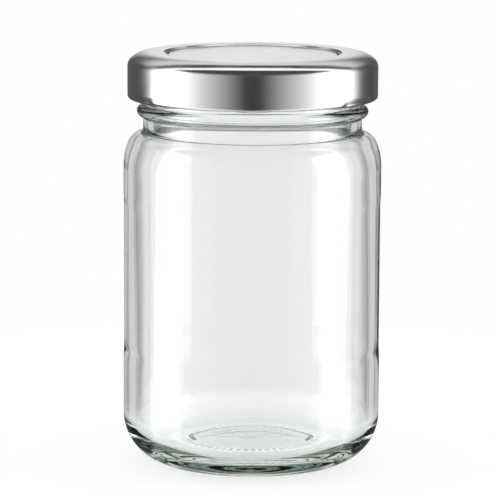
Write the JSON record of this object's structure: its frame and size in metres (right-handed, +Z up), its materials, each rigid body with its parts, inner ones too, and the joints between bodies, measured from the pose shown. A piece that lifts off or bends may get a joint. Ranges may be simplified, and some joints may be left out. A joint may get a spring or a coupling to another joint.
{
  "type": "spice jar",
  "caption": "Round clear glass spice jar with rounded heel and shoulder, a transfer bead at its neck, and a metal screw-on lug cap with a sealing ring.",
  "frame": {"origin": "centre of the foot, on the plane that the jar stands on", "axes": "+Z up along the jar's axis, -Y towards the front, +X to the right seen from the front"},
  "size_m": [0.0578, 0.0578, 0.0927],
  "materials": {
    "glass": "clear, polished, faint green in its thickness",
    "cap_metal": "satin silver lacquered tinplate",
    "seal": "soft off-white sealing compound"
  },
  "bodies": {
    "jar": {"glass_jar": "glass"},
    "seal": {"sealing_ring": "seal"},
    "cap": {"cap_shell": "cap_metal"}
  },
  "joints": [
    {"name": "lid_rise", "type": "slide", "parent": "jar", "child": "seal", "axis": [0, 0, 1], "range_m": [0, 0.015]},
    {"name": "lid_turn", "type": "hinge", "parent": "seal", "child": "cap", "pos_m": [0, 0, 0.0876], "axis": [0, 0, 1], "range_deg": [0, 450]}
  ],
  "couplings": [
    {"joint": "lid_rise", "follows": "lid_turn", "m_per_rad": 0.0019099}
  ]
}
